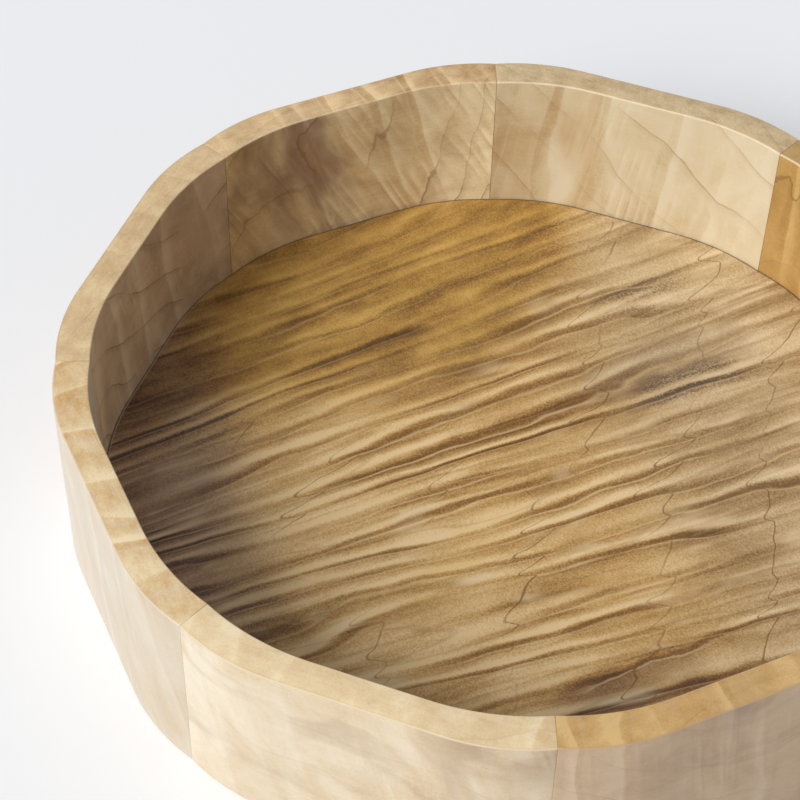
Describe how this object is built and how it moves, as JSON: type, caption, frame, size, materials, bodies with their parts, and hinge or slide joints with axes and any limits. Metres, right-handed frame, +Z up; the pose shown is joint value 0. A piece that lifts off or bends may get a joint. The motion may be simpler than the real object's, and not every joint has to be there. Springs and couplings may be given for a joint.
{
  "type": "open wooden lunch box",
  "caption": "Shallow open wooden lunch box: a lobed ring of mitred staves with eased rims round a one-piece figured floor board.",
  "frame": {"origin": "centre of the base, in the plane the box stands on", "axes": "+Z up through the open top; -Y is the front, towards the middle of the first stave; +X to the right"},
  "size_m": [0.224, 0.224, 0.0532],
  "materials": {
    "stave_wood": "satin oil over pale curly figure",
    "floor_wood": "satin oil over strong curly figure",
    "spline_wood": "bare"
  },
  "bodies": {
    "root": {"floor_board": "floor_wood", "stave_1": "stave_wood", "stave_2": "stave_wood", "stave_3": "stave_wood", "stave_4": "stave_wood", "stave_5": "stave_wood", "stave_6": "stave_wood", "stave_7": "stave_wood", "stave_8": "stave_wood", "spline_1": "spline_wood", "spline_2": "spline_wood", "spline_3": "spline_wood", "spline_4": "spline_wood", "spline_5": "spline_wood", "spline_6": "spline_wood", "spline_7": "spline_wood", "spline_8": "spline_wood"}
  },
  "joints": []
}
